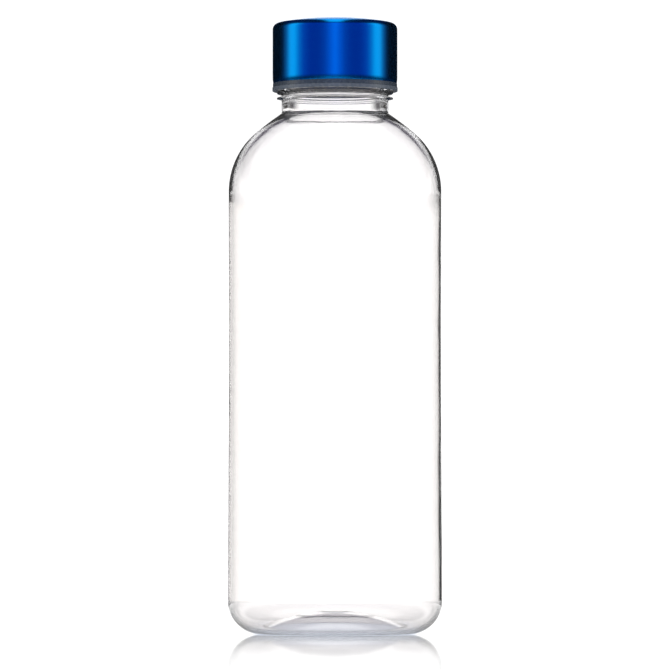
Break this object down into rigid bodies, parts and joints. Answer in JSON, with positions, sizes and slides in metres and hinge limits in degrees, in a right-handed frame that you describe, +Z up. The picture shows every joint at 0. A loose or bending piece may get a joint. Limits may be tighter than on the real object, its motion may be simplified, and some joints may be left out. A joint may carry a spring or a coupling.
{
  "type": "screw-cap bottle",
  "caption": "Clear round-shouldered drinking bottle with a pushed-up base, a short threaded neck and a blue aluminium screw cap over a grey plastic core.",
  "frame": {"origin": "on the bottle's axis, in the plane of its standing ring", "axes": "+Z up along the bottle's axis, out through the cap; +X to the right and -Y towards a person facing it"},
  "size_m": [0.0686, 0.0686, 0.1976],
  "materials": {
    "clear_plastic": "clear, colourless copolyester, polished inside and out",
    "grey_plastic": "smoky grey translucent polypropylene, satin moulded",
    "blue_aluminium": "finely brushed round the axis and anodised blue",
    "silicone": "milky white silicone"
  },
  "bodies": {
    "bottle": {"bottle": "clear_plastic"},
    "seal": {"seal_ring": "silicone"},
    "cap": {"cap_core": "grey_plastic", "cap_shell": "blue_aluminium"}
  },
  "joints": [
    {"name": "cap_lift", "type": "slide", "parent": "bottle", "child": "seal", "axis": [0, 0, 1], "range_m": [0, 0.01905]},
    {"name": "cap_turn", "type": "hinge", "parent": "seal", "child": "cap", "pos_m": [0, 0, 0.1854], "axis": [0, 0, 1], "range_deg": [0, 720]}
  ],
  "couplings": [
    {"joint": "cap_lift", "follows": "cap_turn", "m_per_rad": 0.001516}
  ]
}
